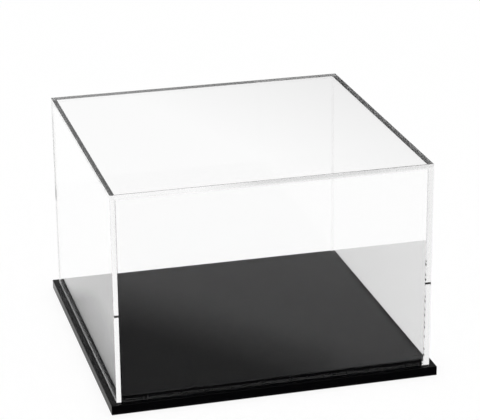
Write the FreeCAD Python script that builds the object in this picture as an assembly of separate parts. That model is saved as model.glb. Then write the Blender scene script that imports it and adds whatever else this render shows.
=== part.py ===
import FreeCAD, Part
import os

# Display case: a clear sheet-acrylic cover that lifts off a gloss black stand.
# Millimetres. +X runs to the right along the front, +Y to the back, +Z up.
# The origin is the middle of the underside, on the surface that the feet stand on.

# Driving dimensions of the cover
cover_width = 300.0
cover_depth = 300.0
cover_height = 200.0      # from the foot of the walls to the top face
panel_thickness = 5.0
air_film = 0.05           # dry contact: the walls' feet never touch the plate all over

# Driving dimensions of the stand
ledge_width = 5.8         # base plate left showing outside the walls
base_thickness = 9.0
deck_thickness = 5.0      # raised plate that the walls drop over
deck_clearance = 0.5      # gap from the deck to each wall
deck_corner_radius = 1.5
foot_diameter = 12.0
foot_thickness = 1.0
foot_inset = 24.0         # from the plate's edge to the middle of a foot

# Edges are eased so that a hand can lift the cover safely
panel_ease = 0.3
base_ease = 0.3
deck_ease = 0.4
foot_ease = 0.25

# Heights and half sizes worked out from the above
base_bottom = foot_thickness
base_top = base_bottom + base_thickness
wall_foot = base_top + air_film
cover_top = wall_foot + cover_height
wall_top = cover_top - panel_thickness
half_width = cover_width / 2
half_depth = cover_depth / 2
inner_half_width = half_width - panel_thickness
inner_half_depth = half_depth - panel_thickness
small = 1e-6


def box_between(low, high):
    size = [b - a for a, b in zip(low, high)]
    return Part.makeBox(size[0], size[1], size[2], FreeCAD.Vector(*low))


def plate(half_x, half_y, bottom, top):
    return box_between((-half_x, -half_y, bottom), (half_x, half_y, top))


def edges_where(shape, test):
    chosen = []
    for edge in shape.Edges:
        points = [vertex.Point for vertex in edge.Vertexes]
        if all(test(point) for point in points):
            chosen.append(edge)
    return chosen


def at(value, target):
    return abs(value - target) < small


def outer_corner(point):
    # the four upright corners of the cover
    return at(abs(point.x), half_width) and at(abs(point.y), half_depth)


def is_upright(edge):
    first, last = edge.Vertexes[0].Point, edge.Vertexes[-1].Point
    return at(first.x, last.x) and at(first.y, last.y)


def top_panel():
    # Lies over all four walls, so its own edge shows all round
    panel = plate(half_width, half_depth, wall_top, cover_top)
    rim = edges_where(panel, lambda point: at(point.z, cover_top))
    corners = [edge for edge in edges_where(panel, outer_corner) if is_upright(edge)]
    return panel.makeChamfer(panel_ease, rim + corners)


def side_panel(side):
    # Runs the full depth and shows its upright edge at the front and the back
    outer = side * half_width
    inner = side * inner_half_width
    low = (min(outer, inner), -half_depth, wall_foot)
    high = (max(outer, inner), half_depth, wall_top)
    panel = box_between(low, high)
    corners = [edge for edge in edges_where(panel, outer_corner) if is_upright(edge)]
    foot = edges_where(panel, lambda point: at(point.z, wall_foot) and at(point.x, outer))
    for end in (-half_depth, half_depth):
        foot += edges_where(panel, lambda point: at(point.z, wall_foot) and at(point.y, end))
    return panel.makeChamfer(panel_ease, corners + foot)


def end_panel(end):
    # Fits between the two side panels
    outer = end * half_depth
    inner = end * inner_half_depth
    low = (-inner_half_width, min(outer, inner), wall_foot)
    high = (inner_half_width, max(outer, inner), wall_top)
    panel = box_between(low, high)
    foot = edges_where(panel, lambda point: at(point.z, wall_foot) and at(point.y, outer))
    return panel.makeChamfer(panel_ease, foot)


def base_plate():
    half_x = half_width + ledge_width
    half_y = half_depth + ledge_width
    base = plate(half_x, half_y, base_bottom, base_top)
    return base.makeChamfer(base_ease, base.Edges)


def riser_deck():
    # Glued flat on the base plate, it keeps the walls from sliding
    half_x = inner_half_width - deck_clearance
    half_y = inner_half_depth - deck_clearance
    deck = plate(half_x, half_y, base_top, base_top + deck_thickness)
    uprights = [edge for edge in deck.Edges if is_upright(edge)]
    deck = deck.makeFillet(deck_corner_radius, uprights)
    rim = edges_where(deck, lambda point: at(point.z, base_top + deck_thickness))
    return deck.makeChamfer(deck_ease, rim)


def foot_pad(side, end):
    centre_x = side * (half_width + ledge_width - foot_inset)
    centre_y = end * (half_depth + ledge_width - foot_inset)
    pad = Part.makeCylinder(foot_diameter / 2, foot_thickness, FreeCAD.Vector(centre_x, centre_y, 0))
    rim = [edge for edge in pad.Edges if edge.Closed and at(edge.CenterOfMass.z, 0)]
    return pad.makeChamfer(foot_ease, rim)


pieces = {
    "top_panel": top_panel(),
    "left_panel": side_panel(-1),
    "right_panel": side_panel(1),
    "front_panel": end_panel(-1),
    "back_panel": end_panel(1),
    "base_plate": base_plate(),
    "riser_deck": riser_deck(),
}
for end_name, end in (("front", -1), ("back", 1)):
    for side_name, side in (("left", -1), ("right", 1)):
        pieces[f"foot_pad_{end_name}_{side_name}"] = foot_pad(side, end)

os.makedirs("parts", exist_ok=True)
for name, shape in pieces.items():
    shape.exportStep(f"parts/{name}.step")
    box = shape.BoundBox
    print(f"{name}: valid {shape.isValid()}, volume {shape.Volume / 1000:.2f} cm3, "
          f"size {box.XLength:.1f} x {box.YLength:.1f} x {box.ZLength:.1f} mm")
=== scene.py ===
import math
import bmesh
import bpy
from mathutils import Matrix, Vector


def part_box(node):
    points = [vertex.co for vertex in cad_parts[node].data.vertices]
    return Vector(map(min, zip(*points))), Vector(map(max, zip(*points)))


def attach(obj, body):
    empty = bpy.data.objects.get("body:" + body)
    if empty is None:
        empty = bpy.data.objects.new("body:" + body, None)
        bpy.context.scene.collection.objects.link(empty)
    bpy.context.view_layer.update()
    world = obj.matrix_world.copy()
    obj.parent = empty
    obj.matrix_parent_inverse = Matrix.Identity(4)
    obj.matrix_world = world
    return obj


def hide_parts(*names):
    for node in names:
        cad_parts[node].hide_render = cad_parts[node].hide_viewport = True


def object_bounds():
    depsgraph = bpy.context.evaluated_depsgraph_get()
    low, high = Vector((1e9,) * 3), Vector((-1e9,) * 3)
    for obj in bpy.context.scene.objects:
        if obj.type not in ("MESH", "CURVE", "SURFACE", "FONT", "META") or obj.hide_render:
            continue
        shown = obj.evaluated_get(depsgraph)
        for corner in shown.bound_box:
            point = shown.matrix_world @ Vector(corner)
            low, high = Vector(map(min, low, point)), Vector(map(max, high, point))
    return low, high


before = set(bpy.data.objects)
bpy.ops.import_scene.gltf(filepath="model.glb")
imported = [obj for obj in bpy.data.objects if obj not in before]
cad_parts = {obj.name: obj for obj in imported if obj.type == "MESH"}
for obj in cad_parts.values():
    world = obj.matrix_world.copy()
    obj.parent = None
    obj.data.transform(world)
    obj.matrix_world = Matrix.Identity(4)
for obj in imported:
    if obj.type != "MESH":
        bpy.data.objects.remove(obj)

cadLow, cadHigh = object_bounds()
mm = 0.001
touch = 0.03 * mm  # how near two places are to count as one
scene = bpy.context.scene
print("stage: frame loaded", [round(v, 4) for v in cadHigh - cadLow])

# The planes of the cover's faces, read from its solids
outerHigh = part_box("top_panel")[1]
frontLow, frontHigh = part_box("front_panel")
halfWidth = outerHigh.x
halfDepth = outerHigh.y
innerHalfWidth = frontHigh.x
innerHalfDepth = -frontHigh.y
wallFoot = frontLow.z
wallTop = frontHigh.z
coverTop = outerHigh.z

# Settings that several nodes share. A colour mix takes its colours at sockets 6 and 7 and gives one at 2.
multiply = {"operation": "MULTIPLY"}
larger = {"operation": "MAXIMUM"}
unsigned = {"operation": "ABSOLUTE"}
colourMix = {"data_type": "RGBA"}


def linear(hexColour):
    # sRGB hex to the linear colour that shaders take
    channels = [int(hexColour[i:i + 2], 16) / 255 for i in (1, 3, 5)]
    return [c / 12.92 if c <= 0.04045 else ((c + 0.055) / 1.055) ** 2.4 for c in channels] + [1.0]


def addNode(tree, kind, settings=None, **inputs):
    # one node with its settings, its socket values and its links; i0, i1 and so on name a socket by number
    node = tree.nodes.new(kind)
    for key, value in (settings or {}).items():
        setattr(node, key, value)
    for key, value in inputs.items():
        numbered = key[0] == "i" and key[1:].isdigit()
        socket = node.inputs[int(key[1:]) if numbered else key.replace("_", " ")]
        if isinstance(value, bpy.types.NodeSocket):
            tree.links.new(value, socket)
        else:
            socket.default_value = value
    return node


def newMaterial(name):
    material = bpy.data.materials.new(name)
    material.use_nodes = True
    material.node_tree.nodes.clear()
    return material, material.node_tree


# Clear cast acrylic. The broad faces keep the polish of the glass plates that they were cast
# between: very smooth, with a faint long ripple and a breath of handling haze.
castFace = {
    "name": "clear cast acrylic",
    "tint": "#FFFFFF",
    "ior": 1.49,
    "glare": 0.3,  # head-on reflection beside that of bare acrylic, matched to the photo
    "rippleMm": 45.0,
    "rippleHeightMm": 0.004,
    "hazeMm": 70.0,
    "hazeLevels": (0.45, 0.75),  # of the noise, where haze starts and is full
    "smooth": 0.0,
    "hazy": 0.02,
}

# The sawn edges are buffed after cutting, so they are a little greyer and softer than the faces.
# Towards the front right they are greyer still, and that grey is painted shade. Each line of the
# painted shade's table is an axis, a plane across it, how far from that plane in millimetres the
# painted shade starts and is full, and the share of it that there is before the start.
buffedEdge = {
    "name": "clear acrylic buffed edge with painted shade",
    "tint": "#FAFAFA",
    # painted shade: the grey that the edges take towards the front right
    "paintedShadeTint": "#E7E7E7",
    "paintedShadeWhere": [
        ("X", halfWidth, -210.0, 0.0, 0.0),
        ("Y", -halfDepth, 30.0, 2.0, 0.0),
    ],
    "ior": 1.49,
    "glare": 0.3,
    "rippleMm": 6.0,
    "rippleHeightMm": 0.001,
    "hazeMm": 12.0,
    "hazeLevels": (0.45, 0.75),
    "smooth": 0.004,
    "hazy": 0.025,
}

# The top sheet's front rim takes a stronger grey of painted shade, growing towards its upper edge,
# a little weaker at its right end and none at its left end.
frontRim = dict(
    buffedEdge,
    name="clear acrylic buffed edge with painted shade, front rim",
    paintedShadeTint="#C6C6C6",
    paintedShadeWhere=[
        ("X", 0.0, -70.0, -10.0, 0.0),
        ("X", halfWidth, -30.0, -65.0, 0.65),
        ("Z", wallTop, -0.15, 2.65, 0.0),
    ],
)


def makeClearAcrylic(look):
    material, tree = newMaterial(look["name"])
    place = addNode(tree, "ShaderNodeTexCoord").outputs["Object"]
    ripple = addNode(tree, "ShaderNodeTexNoise", Vector=place, Scale=1 / (look["rippleMm"] * mm),
                     Detail=1.0)
    bump = addNode(tree, "ShaderNodeBump", Height=ripple.outputs["Fac"], Strength=1.0,
                   Distance=look["rippleHeightMm"] * mm)
    haze = addNode(tree, "ShaderNodeTexNoise", Vector=place, Scale=1 / (look["hazeMm"] * mm), Detail=4.0)
    hazeStart, hazeFull = look["hazeLevels"]
    rough = addNode(tree, "ShaderNodeMapRange", Value=haze.outputs["Fac"], From_Min=hazeStart,
                    From_Max=hazeFull, To_Min=look["smooth"], To_Max=look["hazy"])
    tint = linear(look["tint"])
    # painted shade: the tint turns to a grey by place, along the listed axes
    if "paintedShadeTint" in look:
        axes = addNode(tree, "ShaderNodeSeparateXYZ", Vector=place).outputs
        paintedShade = 1.0
        for axis, plane, startMm, fullMm, least in look["paintedShadeWhere"]:
            ramp = addNode(tree, "ShaderNodeMapRange", Value=axes[axis], From_Min=plane + startMm * mm,
                           From_Max=plane + fullMm * mm, To_Min=least).outputs["Result"]
            paintedShade = addNode(tree, "ShaderNodeMath", multiply, i0=ramp, i1=paintedShade).outputs["Value"]
        tint = addNode(tree, "ShaderNodeMix", colourMix, i0=paintedShade, i6=tint,
                       i7=linear(look["paintedShadeTint"])).outputs[2]
    shader = addNode(tree, "ShaderNodeBsdfPrincipled", Base_Color=tint, IOR=look["ior"],
                     Roughness=rough.outputs["Result"], Normal=bump.outputs["Normal"],
                     Transmission_Weight=1.0, Specular_Tint=[look["glare"]] * 3 + [1.0])
    # soft light goes straight through, as it does through real sheet
    rays = addNode(tree, "ShaderNodeLightPath").outputs
    soft = addNode(tree, "ShaderNodeMath", larger, i0=rays["Is Shadow Ray"], i1=rays["Is Diffuse Ray"])
    passing = addNode(tree, "ShaderNodeBsdfTransparent", Color=linear(look["tint"]))
    mixed = addNode(tree, "ShaderNodeMixShader", Fac=soft.outputs["Value"], i1=shader.outputs["BSDF"],
                    i2=passing.outputs["BSDF"])
    addNode(tree, "ShaderNodeOutputMaterial", Surface=mixed.outputs["Shader"])
    return material


# Solvent cement melts two sheets into one, so light crosses a joint straight and a little dimmed.
# Streaks are where it ran thin, and milk is the share of light that a cloudy joint scatters.
frontLeftCement = {
    "name": "solvent cement, front left",
    "wet": "#E6E6E6",
    "thin": "#DEDEDE",
    "milk": 0.0,
    "streakMm": (4.0, 9.0, 25.0),
    "thinLevels": (0.4, 0.7),  # of the noise, where the film starts to thin and is thin
}
backLeftCement = dict(frontLeftCement, name="solvent cement, back left", wet="#F4F4F4", thin="#ECECEC")
backRightCement = dict(frontLeftCement, name="solvent cement, back right", wet="#FFFFFF", thin="#FDFDFD")
topFrontCement = dict(frontLeftCement, name="solvent cement, top front", wet="#FFFFFF", thin="#FCFCFC",
                      streakMm=(25.0, 9.0, 9.0))
topBackCement = dict(topFrontCement, name="solvent cement, top back, cloudy", wet="#FDFDFD",
                     thin="#F6F6F6", milk=0.1)


def makeCement(film):
    material, tree = newMaterial(film["name"])
    place = addNode(tree, "ShaderNodeTexCoord").outputs["Object"]
    stretched = addNode(tree, "ShaderNodeMapping", Vector=place,
                        Scale=[1 / (size * mm) for size in film["streakMm"]])
    streaks = addNode(tree, "ShaderNodeTexNoise", Vector=stretched.outputs["Vector"], Scale=1.0,
                      Detail=1.0)
    thinStart, thinFull = film["thinLevels"]
    thinness = addNode(tree, "ShaderNodeMapRange", Value=streaks.outputs["Fac"], From_Min=thinStart,
                       From_Max=thinFull)
    colour = addNode(tree, "ShaderNodeMix", colourMix, i0=thinness.outputs["Result"],
                     i6=linear(film["wet"]), i7=linear(film["thin"])).outputs[2]
    shader = addNode(tree, "ShaderNodeBsdfTransparent", Color=colour).outputs["BSDF"]
    if film["milk"]:
        cloud = addNode(tree, "ShaderNodeBsdfDiffuse", Color=colour).outputs["BSDF"]
        shader = addNode(tree, "ShaderNodeMixShader", Fac=film["milk"], i1=shader,
                         i2=cloud).outputs["Shader"]
    addNode(tree, "ShaderNodeOutputMaterial", Surface=shader)
    return material


# In the front right joint the cement left pin bubbles, up to a little over half its height. They
# are flat, so they mirror at a slant and all but vanish when looked at square on.
bubblyCement = {
    "name": "solvent cement with pin bubbles",
    "wet": "#F1F1F1",
    "bubble": "#202020",
    "spacingMm": 7.0,
    "coreShare": 0.1,  # of the spacing, from a bubble's middle to where it starts to fade
    "rimShare": 0.2,
    "reachMm": (122.0, 114.0),  # heights over the floor where there are none and where all are there
    "slant": (0.3, 0.6),  # slant at which they start to mirror and mirror in full
    "squareOn": 0.08,  # share that they mirror when looked at square on
}


def makeBubblyCement():
    film = bubblyCement
    material, tree = newMaterial(film["name"])
    place = addNode(tree, "ShaderNodeTexCoord").outputs["Object"]
    height = addNode(tree, "ShaderNodeSeparateXYZ", Vector=place).outputs["Z"]
    bubbles = addNode(tree, "ShaderNodeTexVoronoi", {"voronoi_dimensions": "1D"}, W=height,
                      Scale=1 / (film["spacingMm"] * mm))
    inside = addNode(tree, "ShaderNodeMapRange", Value=bubbles.outputs["Distance"],
                     From_Min=film["rimShare"], From_Max=film["coreShare"])
    weight = addNode(tree, "ShaderNodeSeparateColor", Color=bubbles.outputs["Color"])
    reachNone, reachAll = film["reachMm"]
    low = addNode(tree, "ShaderNodeMapRange", Value=height, From_Min=reachNone * mm, From_Max=reachAll * mm)
    slant = addNode(tree, "ShaderNodeLayerWeight", Blend=0.5).outputs["Facing"]
    slantStart, slantFull = film["slant"]
    mirrored = addNode(tree, "ShaderNodeMapRange", Value=slant, From_Min=slantStart, From_Max=slantFull,
                       To_Min=film["squareOn"])
    share = inside.outputs["Result"]
    for factor in (weight.outputs["Red"], low.outputs["Result"], mirrored.outputs["Result"]):
        share = addNode(tree, "ShaderNodeMath", multiply, i0=share, i1=factor).outputs["Value"]
    colour = addNode(tree, "ShaderNodeMix", colourMix, i0=share, i6=linear(film["wet"]),
                     i7=linear(film["bubble"]))
    passing = addNode(tree, "ShaderNodeBsdfTransparent", Color=colour.outputs[2])
    addNode(tree, "ShaderNodeOutputMaterial", Surface=passing.outputs["BSDF"])
    return material


# Over the side sheets the film looks dark to an eye that looks down through it, and clear along it.
# It is darkest on the inner half of the joint and thins out towards both rims. The left one is darker.
topRightCement = {
    "name": "solvent cement, over the right side",
    "inner": "#D4D4D4",
    "outer": "#F4F4F4",
    "clear": "#FDFDFD",
    "turnMm": 0.9,  # from the joint's middle, each way, to the full inner and outer tone
    "thickMm": 1.5,  # from the middle to where the film starts to thin out
    "thinMm": 2.2,
    "along": (0.4, 0.65),  # slant at which it starts to clear and is clear
    "patchMm": 30.0,
}
topLeftCement = dict(topRightCement, name="solvent cement, over the left side", inner="#A0A0A0",
                     outer="#E6E6E6")


def makeSideCement(film):
    material, tree = newMaterial(film["name"])
    turn = film["turnMm"] * mm
    place = addNode(tree, "ShaderNodeTexCoord").outputs["Object"]
    across = addNode(tree, "ShaderNodeSeparateXYZ", Vector=place).outputs["X"]
    outward = addNode(tree, "ShaderNodeMath", unsigned, i0=across)
    offset = addNode(tree, "ShaderNodeMath", {"operation": "SUBTRACT"}, i0=outward.outputs["Value"],
                     i1=(innerHalfWidth + halfWidth) / 2).outputs["Value"]
    patches = addNode(tree, "ShaderNodeTexNoise", Vector=place, Scale=1 / (film["patchMm"] * mm),
                      Detail=1.0)
    patchy = addNode(tree, "ShaderNodeMapRange", Value=patches.outputs["Fac"], To_Min=-turn, To_Max=turn)
    shifted = addNode(tree, "ShaderNodeMath", {"operation": "ADD"}, i0=offset,
                      i1=patchy.outputs["Result"])
    half = addNode(tree, "ShaderNodeMapRange", Value=shifted.outputs["Value"], From_Min=-turn,
                   From_Max=turn)
    tone = addNode(tree, "ShaderNodeMix", colourMix, i0=half.outputs["Result"],
                   i6=linear(film["inner"]), i7=linear(film["outer"]))
    fromMiddle = addNode(tree, "ShaderNodeMath", unsigned, i0=offset)
    thinness = addNode(tree, "ShaderNodeMapRange", Value=fromMiddle.outputs["Value"],
                       From_Min=film["thickMm"] * mm, From_Max=film["thinMm"] * mm)
    slant = addNode(tree, "ShaderNodeLayerWeight", Blend=0.5).outputs["Facing"]
    slantStart, slantFull = film["along"]
    along = addNode(tree, "ShaderNodeMapRange", Value=slant, From_Min=slantStart, From_Max=slantFull)
    clearness = addNode(tree, "ShaderNodeMath", larger, i0=thinness.outputs["Result"],
                        i1=along.outputs["Result"])
    colour = addNode(tree, "ShaderNodeMix", colourMix, i0=clearness.outputs["Value"],
                     i6=tone.outputs[2], i7=linear(film["clear"]))
    passing = addNode(tree, "ShaderNodeBsdfTransparent", Color=colour.outputs[2])
    addNode(tree, "ShaderNodeOutputMaterial", Surface=passing.outputs["BSDF"])
    return material


# Black cast acrylic, polished to a deep even gloss, with a trace of settled dust.
deckBlack = {
    "name": "gloss black cast acrylic, deck",
    "colour": "#050506",
    "dust": "#121214",
    "ior": 1.49,
    "specular": 0.059,  # matched to the photo
    "roughness": 0.03,
    "dusty": 0.1,
    "dustMm": 1.2,
    "dustLevels": (0.62, 0.8),  # of the noise, where dust starts and lies in full
}
baseBlack = dict(deckBlack, name="gloss black cast acrylic, base", specular=0.045)


def makeBlackAcrylic(look):
    material, tree = newMaterial(look["name"])
    place = addNode(tree, "ShaderNodeTexCoord").outputs["Object"]
    specks = addNode(tree, "ShaderNodeTexNoise", Vector=place, Scale=1 / (look["dustMm"] * mm), Detail=3.0)
    dustStart, dustFull = look["dustLevels"]
    settled = addNode(tree, "ShaderNodeMapRange", Value=specks.outputs["Fac"], From_Min=dustStart,
                      From_Max=dustFull).outputs["Result"]
    colour = addNode(tree, "ShaderNodeMix", colourMix, i0=settled, i6=linear(look["colour"]),
                     i7=linear(look["dust"]))
    rough = addNode(tree, "ShaderNodeMapRange", Value=settled, To_Min=look["roughness"],
                    To_Max=look["dusty"])
    shader = addNode(tree, "ShaderNodeBsdfPrincipled", Base_Color=colour.outputs[2], IOR=look["ior"],
                     Specular_IOR_Level=look["specular"], Roughness=rough.outputs["Result"])
    addNode(tree, "ShaderNodeOutputMaterial", Surface=shader.outputs["BSDF"])
    return material


# Die-cut black rubber: matte, finely pitted by the moulding plate.
padRubber = {
    "name": "die-cut black rubber",
    "colour": "#17171A",
    "worn": "#26262A",
    "grainMm": 0.5,
    "grainHeightMm": 0.05,
    "grainStrength": 0.6,
    "roughness": 0.8,
}


def makePadRubber():
    look = padRubber
    material, tree = newMaterial(look["name"])
    place = addNode(tree, "ShaderNodeTexCoord").outputs["Object"]
    grain = addNode(tree, "ShaderNodeTexNoise", Vector=place, Scale=1 / (look["grainMm"] * mm), Detail=2.0)
    colour = addNode(tree, "ShaderNodeMix", colourMix, i0=grain.outputs["Fac"],
                     i6=linear(look["colour"]), i7=linear(look["worn"]))
    bump = addNode(tree, "ShaderNodeBump", Height=grain.outputs["Fac"], Strength=look["grainStrength"],
                   Distance=look["grainHeightMm"] * mm)
    shader = addNode(tree, "ShaderNodeBsdfPrincipled", Base_Color=colour.outputs[2],
                     Roughness=look["roughness"], Normal=bump.outputs["Normal"])
    addNode(tree, "ShaderNodeOutputMaterial", Surface=shader.outputs["BSDF"])
    return material


# Every sheet has all of these, in this order, and each of its faces takes one by name
sheetFinishes = {
    "face": makeClearAcrylic(castFace),
    "edge": makeClearAcrylic(buffedEdge),
    "frontRim": makeClearAcrylic(frontRim),
    "frontLeft": makeCement(frontLeftCement),
    "backLeft": makeCement(backLeftCement),
    "backRight": makeCement(backRightCement),
    "topFront": makeCement(topFrontCement),
    "topBack": makeCement(topBackCement),
    "frontRight": makeBubblyCement(),
    "topLeft": makeSideCement(topLeftCement),
    "topRight": makeSideCement(topRightCement),
}
unbonded = ("face", "edge", "frontRim")
standFinishes = {"base_plate": makeBlackAcrylic(baseBlack), "riser_deck": makeBlackAcrylic(deckBlack)}
rubber = makePadRubber()
print("stage: materials made")

# The cover: five sheets, each cut to its own solid's size, with the outside edges eased.
# A film of cement lies between them, half of it taken from each bonded face.
coverSheets = {
    "easeMm": 0.3,
    "easeSteps": 2,
    "filmMm": 0.02,
    "thinAxis": {"top_panel": 2, "left_panel": 0, "right_panel": 0, "front_panel": 1, "back_panel": 1},
    "square": 0.9,  # least share of a face's normal along an axis that it lies square to
    "leaning": 0.5,  # the same for a face that leans that way, as an eased edge does
}


def near(a, b):
    return abs(a - b) < touch


def outsidePlanes(place):
    # how many of the cover's outside planes a place lies on: two make an edge that a hand can feel
    sides = near(abs(place.x), halfWidth) + near(abs(place.y), halfDepth)
    ends = near(place.z, coverTop) + near(place.z, wallFoot)
    return sides + ends


def lessFilm(node, low, high):
    film = coverSheets["filmMm"] * mm / 2
    if node == "top_panel":
        low.z += film
        return
    high.z -= film
    if node != "left_panel":
        low.x += film
    if node != "right_panel":
        high.x -= film


def finishOf(face, thinAxis):
    centre = face.center
    normal = face.normal
    square = coverSheets["square"]
    end = "front" if centre.y < 0 else "back"
    side = "Left" if centre.x < 0 else "Right"
    overEnd = abs(centre.y) > innerHalfDepth
    if near(centre.z, wallTop) and abs(normal.z) > square:
        if overEnd:
            return "top" + end.capitalize()
        return "top" + side if abs(centre.x) > innerHalfWidth else "face"
    if near(abs(centre.x), innerHalfWidth) and abs(normal.x) > square and overEnd:
        return end + side
    if abs(normal[thinAxis]) > square:
        return "face"
    isTop = thinAxis == coverSheets["thinAxis"]["top_panel"]
    return "frontRim" if isTop and normal.y < -coverSheets["leaning"] else "edge"


def cutAlong(place, direction):
    bpy.ops.mesh.select_all(action="SELECT")
    bpy.ops.mesh.bisect(plane_co=place, plane_no=direction)


def makeSheet(node):
    low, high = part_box(node)
    lessFilm(node, low, high)
    bpy.ops.object.select_all(action="DESELECT")
    bpy.ops.mesh.primitive_cube_add(size=1, location=(low + high) / 2, scale=high - low)
    bpy.ops.object.transform_apply(location=True, rotation=True, scale=True)
    sheet = bpy.context.object
    sheet.name = node.replace("_panel", "_clear_sheet")
    bpy.ops.object.mode_set(mode="EDIT")
    bpy.ops.mesh.select_mode(type="EDGE")
    sheetMesh = bmesh.from_edit_mesh(sheet.data)
    bpy.ops.mesh.select_all(action="DESELECT")
    for edge in sheetMesh.edges:
        middle = (edge.verts[0].co + edge.verts[1].co) / 2
        edge.select_set(outsidePlanes(middle) >= 2)
    bmesh.update_edit_mesh(sheet.data)
    bpy.ops.mesh.bevel(offset=coverSheets["easeMm"] * mm, segments=coverSheets["easeSteps"],
                       affect="EDGES")
    # cut the faces where another sheet's inside face meets them
    for side in (-1, 1):
        if low.x < side * innerHalfWidth - touch and side * innerHalfWidth + touch < high.x:
            cutAlong((side * innerHalfWidth, 0, 0), (1, 0, 0))
        if low.y < side * innerHalfDepth - touch and side * innerHalfDepth + touch < high.y:
            cutAlong((0, side * innerHalfDepth, 0), (0, 1, 0))
    bpy.ops.object.mode_set(mode="OBJECT")
    for material in sheetFinishes.values():
        sheet.data.materials.append(material)
    finishNames = list(sheetFinishes)
    bonded = 0
    for face in sheet.data.polygons:
        finish = finishOf(face, coverSheets["thinAxis"][node])
        face.material_index = finishNames.index(finish)
        bonded += finish not in unbonded
    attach(sheet, "cover")
    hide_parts(node)
    print("stage: sheet", sheet.name, len(sheet.data.polygons), "faces,", bonded, "in joints")


for node in coverSheets["thinAxis"]:
    makeSheet(node)

# The stand keeps its solids and takes its finishes
for node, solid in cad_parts.items():
    if node in standFinishes or node.startswith("foot_pad"):
        solid.data.materials.clear()
        solid.data.materials.append(standFinishes.get(node, rubber))
print("stage: stand finished")

# The studio: a white sweep with even light from all round, and black cards that the camera itself
# never sees: only what mirrors them shows them. The one in front keeps glare off the front sheet, and
# the one in the sky greys the right of the top sheet. Both are seen only straight off a mirroring face.
# The one on the left stands for the case's own soft shadow, and the one over the back is painted
# shade that darkens the front of the deck in its mirror, so these two are also seen through a sheet, where
# light was mirrored once.
# A card's strength is how far it darkens what it hides. Each of its fades runs along a direction,
# from one place on it, where only the given share of the strength is left, to another. Metres.
studio = {
    "floorSize": 30.0,
    "floorColour": "#FDFDFD",
    "floorLift": 0.87,  # share of plain white where the camera, gloss and glass look
    "worldColour": "#FFFFFF",
    "worldStrength": 1.0,
    "cardColour": "#080808",
}
overFloor = 0.0005  # height of a card that lies on the floor
frontStart = cadLow.y - 0.0042  # near end of the card in front, just clear of the base plate
leftStart = cadLow.x - 0.0342  # far end of the card on the left
cards = [
    {
        "name": "floorCard",
        "place": (0.0, frontStart - 0.5, overFloor),
        "size": (1.0, 1.0),
        "upright": False,
        "fromBelow": False,  # whether only what lies lower mirrors it
        "seenBy": "Is Reflection Ray",
        "strength": 0.97,
        "fades": [
            ((0, 1, 0), frontStart - 1.0, frontStart - 0.6, 0.0),
            ((1, 0, 0), -0.5, -0.2, 0.0),
            ((1, 0, 0), 0.5, 0.33, 0.0),
        ],
    },
    {
        "name": "skyCard",
        "place": (0.45, 1.5, 0.73),
        "size": (0.9, 0.26),
        "upright": True,
        "fromBelow": False,
        "seenBy": "Is Reflection Ray",
        "strength": 0.78,
        "fades": [
            ((1, 0, -1.8), -0.957, -0.583, 0.256),
            ((1, 0, 0), 0.0, 0.06, 0.0),
            ((1, 0, 0), 0.9, 0.78, 0.0),
            ((0, 0, 1), 0.6, 0.628, 0.0),
            ((0, 0, 1), 0.86, 0.82, 0.0),
        ],
    },
    {
        "name": "leftCard",
        "place": (leftStart + 0.018, 0.005, overFloor),
        "size": (0.036, 0.32),
        "upright": False,
        "fromBelow": False,
        "seenBy": "Glossy Depth",
        "strength": 0.4,
        "fades": [
            ((1, 0, 0), leftStart, leftStart + 0.03, 0.0),
            ((0, 1, 0), 0.165, 0.115, 0.0),
        ],
    },
    {
        # painted shade: a dark card that the deck mirrors, darkening the deck's front
        "name": "deckPaintedShadeCard",
        "place": (0.06, 0.425, 0.2),
        "size": (0.68, 0.65),
        "upright": False,
        "fromBelow": True,
        "seenBy": "Glossy Depth",
        "strength": 0.94,
        "fades": [
            ((1, 0.8, 0), 0.46, 0.3, 0.0),
            ((1, 0, 0), -0.28, -0.1, 0.0),
            ((0, 1, 0), 0.1, 0.22, 0.0),
            ((0, 1, 0), 0.75, 0.5, 0.0),
        ],
    },
]


def makeFloor():
    bpy.ops.object.select_all(action="DESELECT")
    bpy.ops.mesh.primitive_plane_add(size=studio["floorSize"], location=(0, 0, cadLow.z))
    bpy.ops.object.transform_apply(location=True, rotation=True, scale=True)
    floor = bpy.context.object
    floor.name = "studioFloor"
    material, tree = newMaterial("white paper sweep")
    rays = addNode(tree, "ShaderNodeLightPath").outputs
    seen = rays["Is Camera Ray"]
    for kind in ("Is Glossy Ray", "Is Transmission Ray"):
        seen = addNode(tree, "ShaderNodeMath", larger, i0=seen, i1=rays[kind]).outputs["Value"]
    lift = addNode(tree, "ShaderNodeMath", multiply, i0=seen, i1=studio["floorLift"])
    paper = addNode(tree, "ShaderNodeBsdfDiffuse", Color=linear(studio["floorColour"]))
    glow = addNode(tree, "ShaderNodeEmission", Strength=1.0)
    mixed = addNode(tree, "ShaderNodeMixShader", Fac=lift.outputs["Value"], i1=paper.outputs["BSDF"],
                    i2=glow.outputs["Emission"])
    addNode(tree, "ShaderNodeOutputMaterial", Surface=mixed.outputs["Shader"])
    floor.data.materials.append(material)


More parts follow.
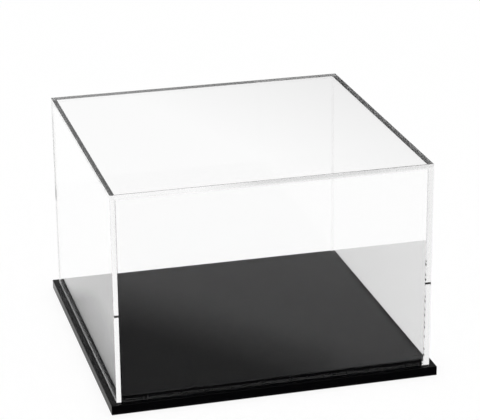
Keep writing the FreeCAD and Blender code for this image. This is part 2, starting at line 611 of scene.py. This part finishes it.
def makeCard(plan):
    turn = (math.pi / 2, 0, 0) if plan["upright"] else (0, 0, 0)
    bpy.ops.object.select_all(action="DESELECT")
    bpy.ops.mesh.primitive_plane_add(size=1, location=plan["place"], rotation=turn)
    card = bpy.context.object
    card.name = plan["name"]
    card.scale = (*plan["size"], 1)
    bpy.ops.object.transform_apply(location=True, rotation=True, scale=True)
    material, tree = newMaterial(plan["name"] + " black paper")
    place = addNode(tree, "ShaderNodeTexCoord").outputs["Object"]
    rays = addNode(tree, "ShaderNodeLightPath").outputs
    # 1 where light was mirrored just once
    shade = addNode(tree, "ShaderNodeMath", {"operation": "COMPARE"}, i0=rays[plan["seenBy"]], i1=1.0,
                    i2=0.5)
    shares = [plan["strength"]]
    if plan["fromBelow"]:
        shares.append(addNode(tree, "ShaderNodeNewGeometry").outputs["Backfacing"])
    for direction, start, end, least in plan["fades"]:
        along = addNode(tree, "ShaderNodeVectorMath", {"operation": "DOT_PRODUCT"}, i0=place, i1=direction)
        fade = addNode(tree, "ShaderNodeMapRange", Value=along.outputs["Value"], From_Min=start,
                       From_Max=end, To_Min=least)
        shares.append(fade.outputs["Result"])
    for share in shares:
        shade = addNode(tree, "ShaderNodeMath", multiply, i0=shade.outputs["Value"], i1=share)
    paper = addNode(tree, "ShaderNodeBsdfDiffuse", Color=linear(studio["cardColour"]))
    clear = addNode(tree, "ShaderNodeBsdfTransparent")
    mixed = addNode(tree, "ShaderNodeMixShader", Fac=shade.outputs["Value"], i1=clear.outputs["BSDF"],
                    i2=paper.outputs["BSDF"])
    addNode(tree, "ShaderNodeOutputMaterial", Surface=mixed.outputs["Shader"])
    card.data.materials.append(material)
    card.visible_camera = False
    card.visible_diffuse = False
    card.visible_shadow = False


def makeWorld():
    world = bpy.data.worlds.new("even white studio")
    world.use_nodes = True
    background = next(node for node in world.node_tree.nodes if node.type == "BACKGROUND")
    background.inputs["Color"].default_value = linear(studio["worldColour"])
    background.inputs["Strength"].default_value = studio["worldStrength"]
    scene.world = world


makeFloor()
for plan in cards:
    makeCard(plan)
makeWorld()

# The camera, placed by fitting a pinhole to the case's edges. Degrees, and metres for its place.
photoCamera = {
    "azimuth": 14.616,
    "elevation": 20.476,
    "roll": -0.587,
    "lensMm": 150.18,
    "sensorMm": 36.0,
    "place": (-0.4539, -1.7658, 0.8081),
}


def makeCamera():
    around = math.radians(photoCamera["azimuth"])
    down = math.radians(photoCamera["elevation"])
    turn = math.radians(photoCamera["roll"])
    level = math.cos(down)
    forward = Vector((math.sin(around) * level, math.cos(around) * level, -math.sin(down)))
    right = forward.cross(Vector((0, 0, 1))).normalized()
    above = right.cross(forward)
    imageRight = math.cos(turn) * right + math.sin(turn) * above
    imageUp = math.cos(turn) * above - math.sin(turn) * right
    facing = Matrix((imageRight, imageUp, -forward)).transposed()
    lens = bpy.data.cameras.new("photoCamera")
    lens.lens = photoCamera["lensMm"]
    lens.sensor_width = photoCamera["sensorMm"]
    camera = bpy.data.objects.new("photoCamera", lens)
    scene.collection.objects.link(camera)
    camera.matrix_world = Matrix.Translation(photoCamera["place"]) @ facing.to_4x4()
    scene.camera = camera


makeCamera()

# Light runs far inside the sheets before it leaves them, so paths are long
longPath = 64
scene.cycles.max_bounces = longPath
scene.cycles.glossy_bounces = longPath
scene.cycles.transmission_bounces = longPath
scene.cycles.transparent_max_bounces = longPath
scene.view_settings.view_transform = "Standard"
print("stage: studio and camera ready")
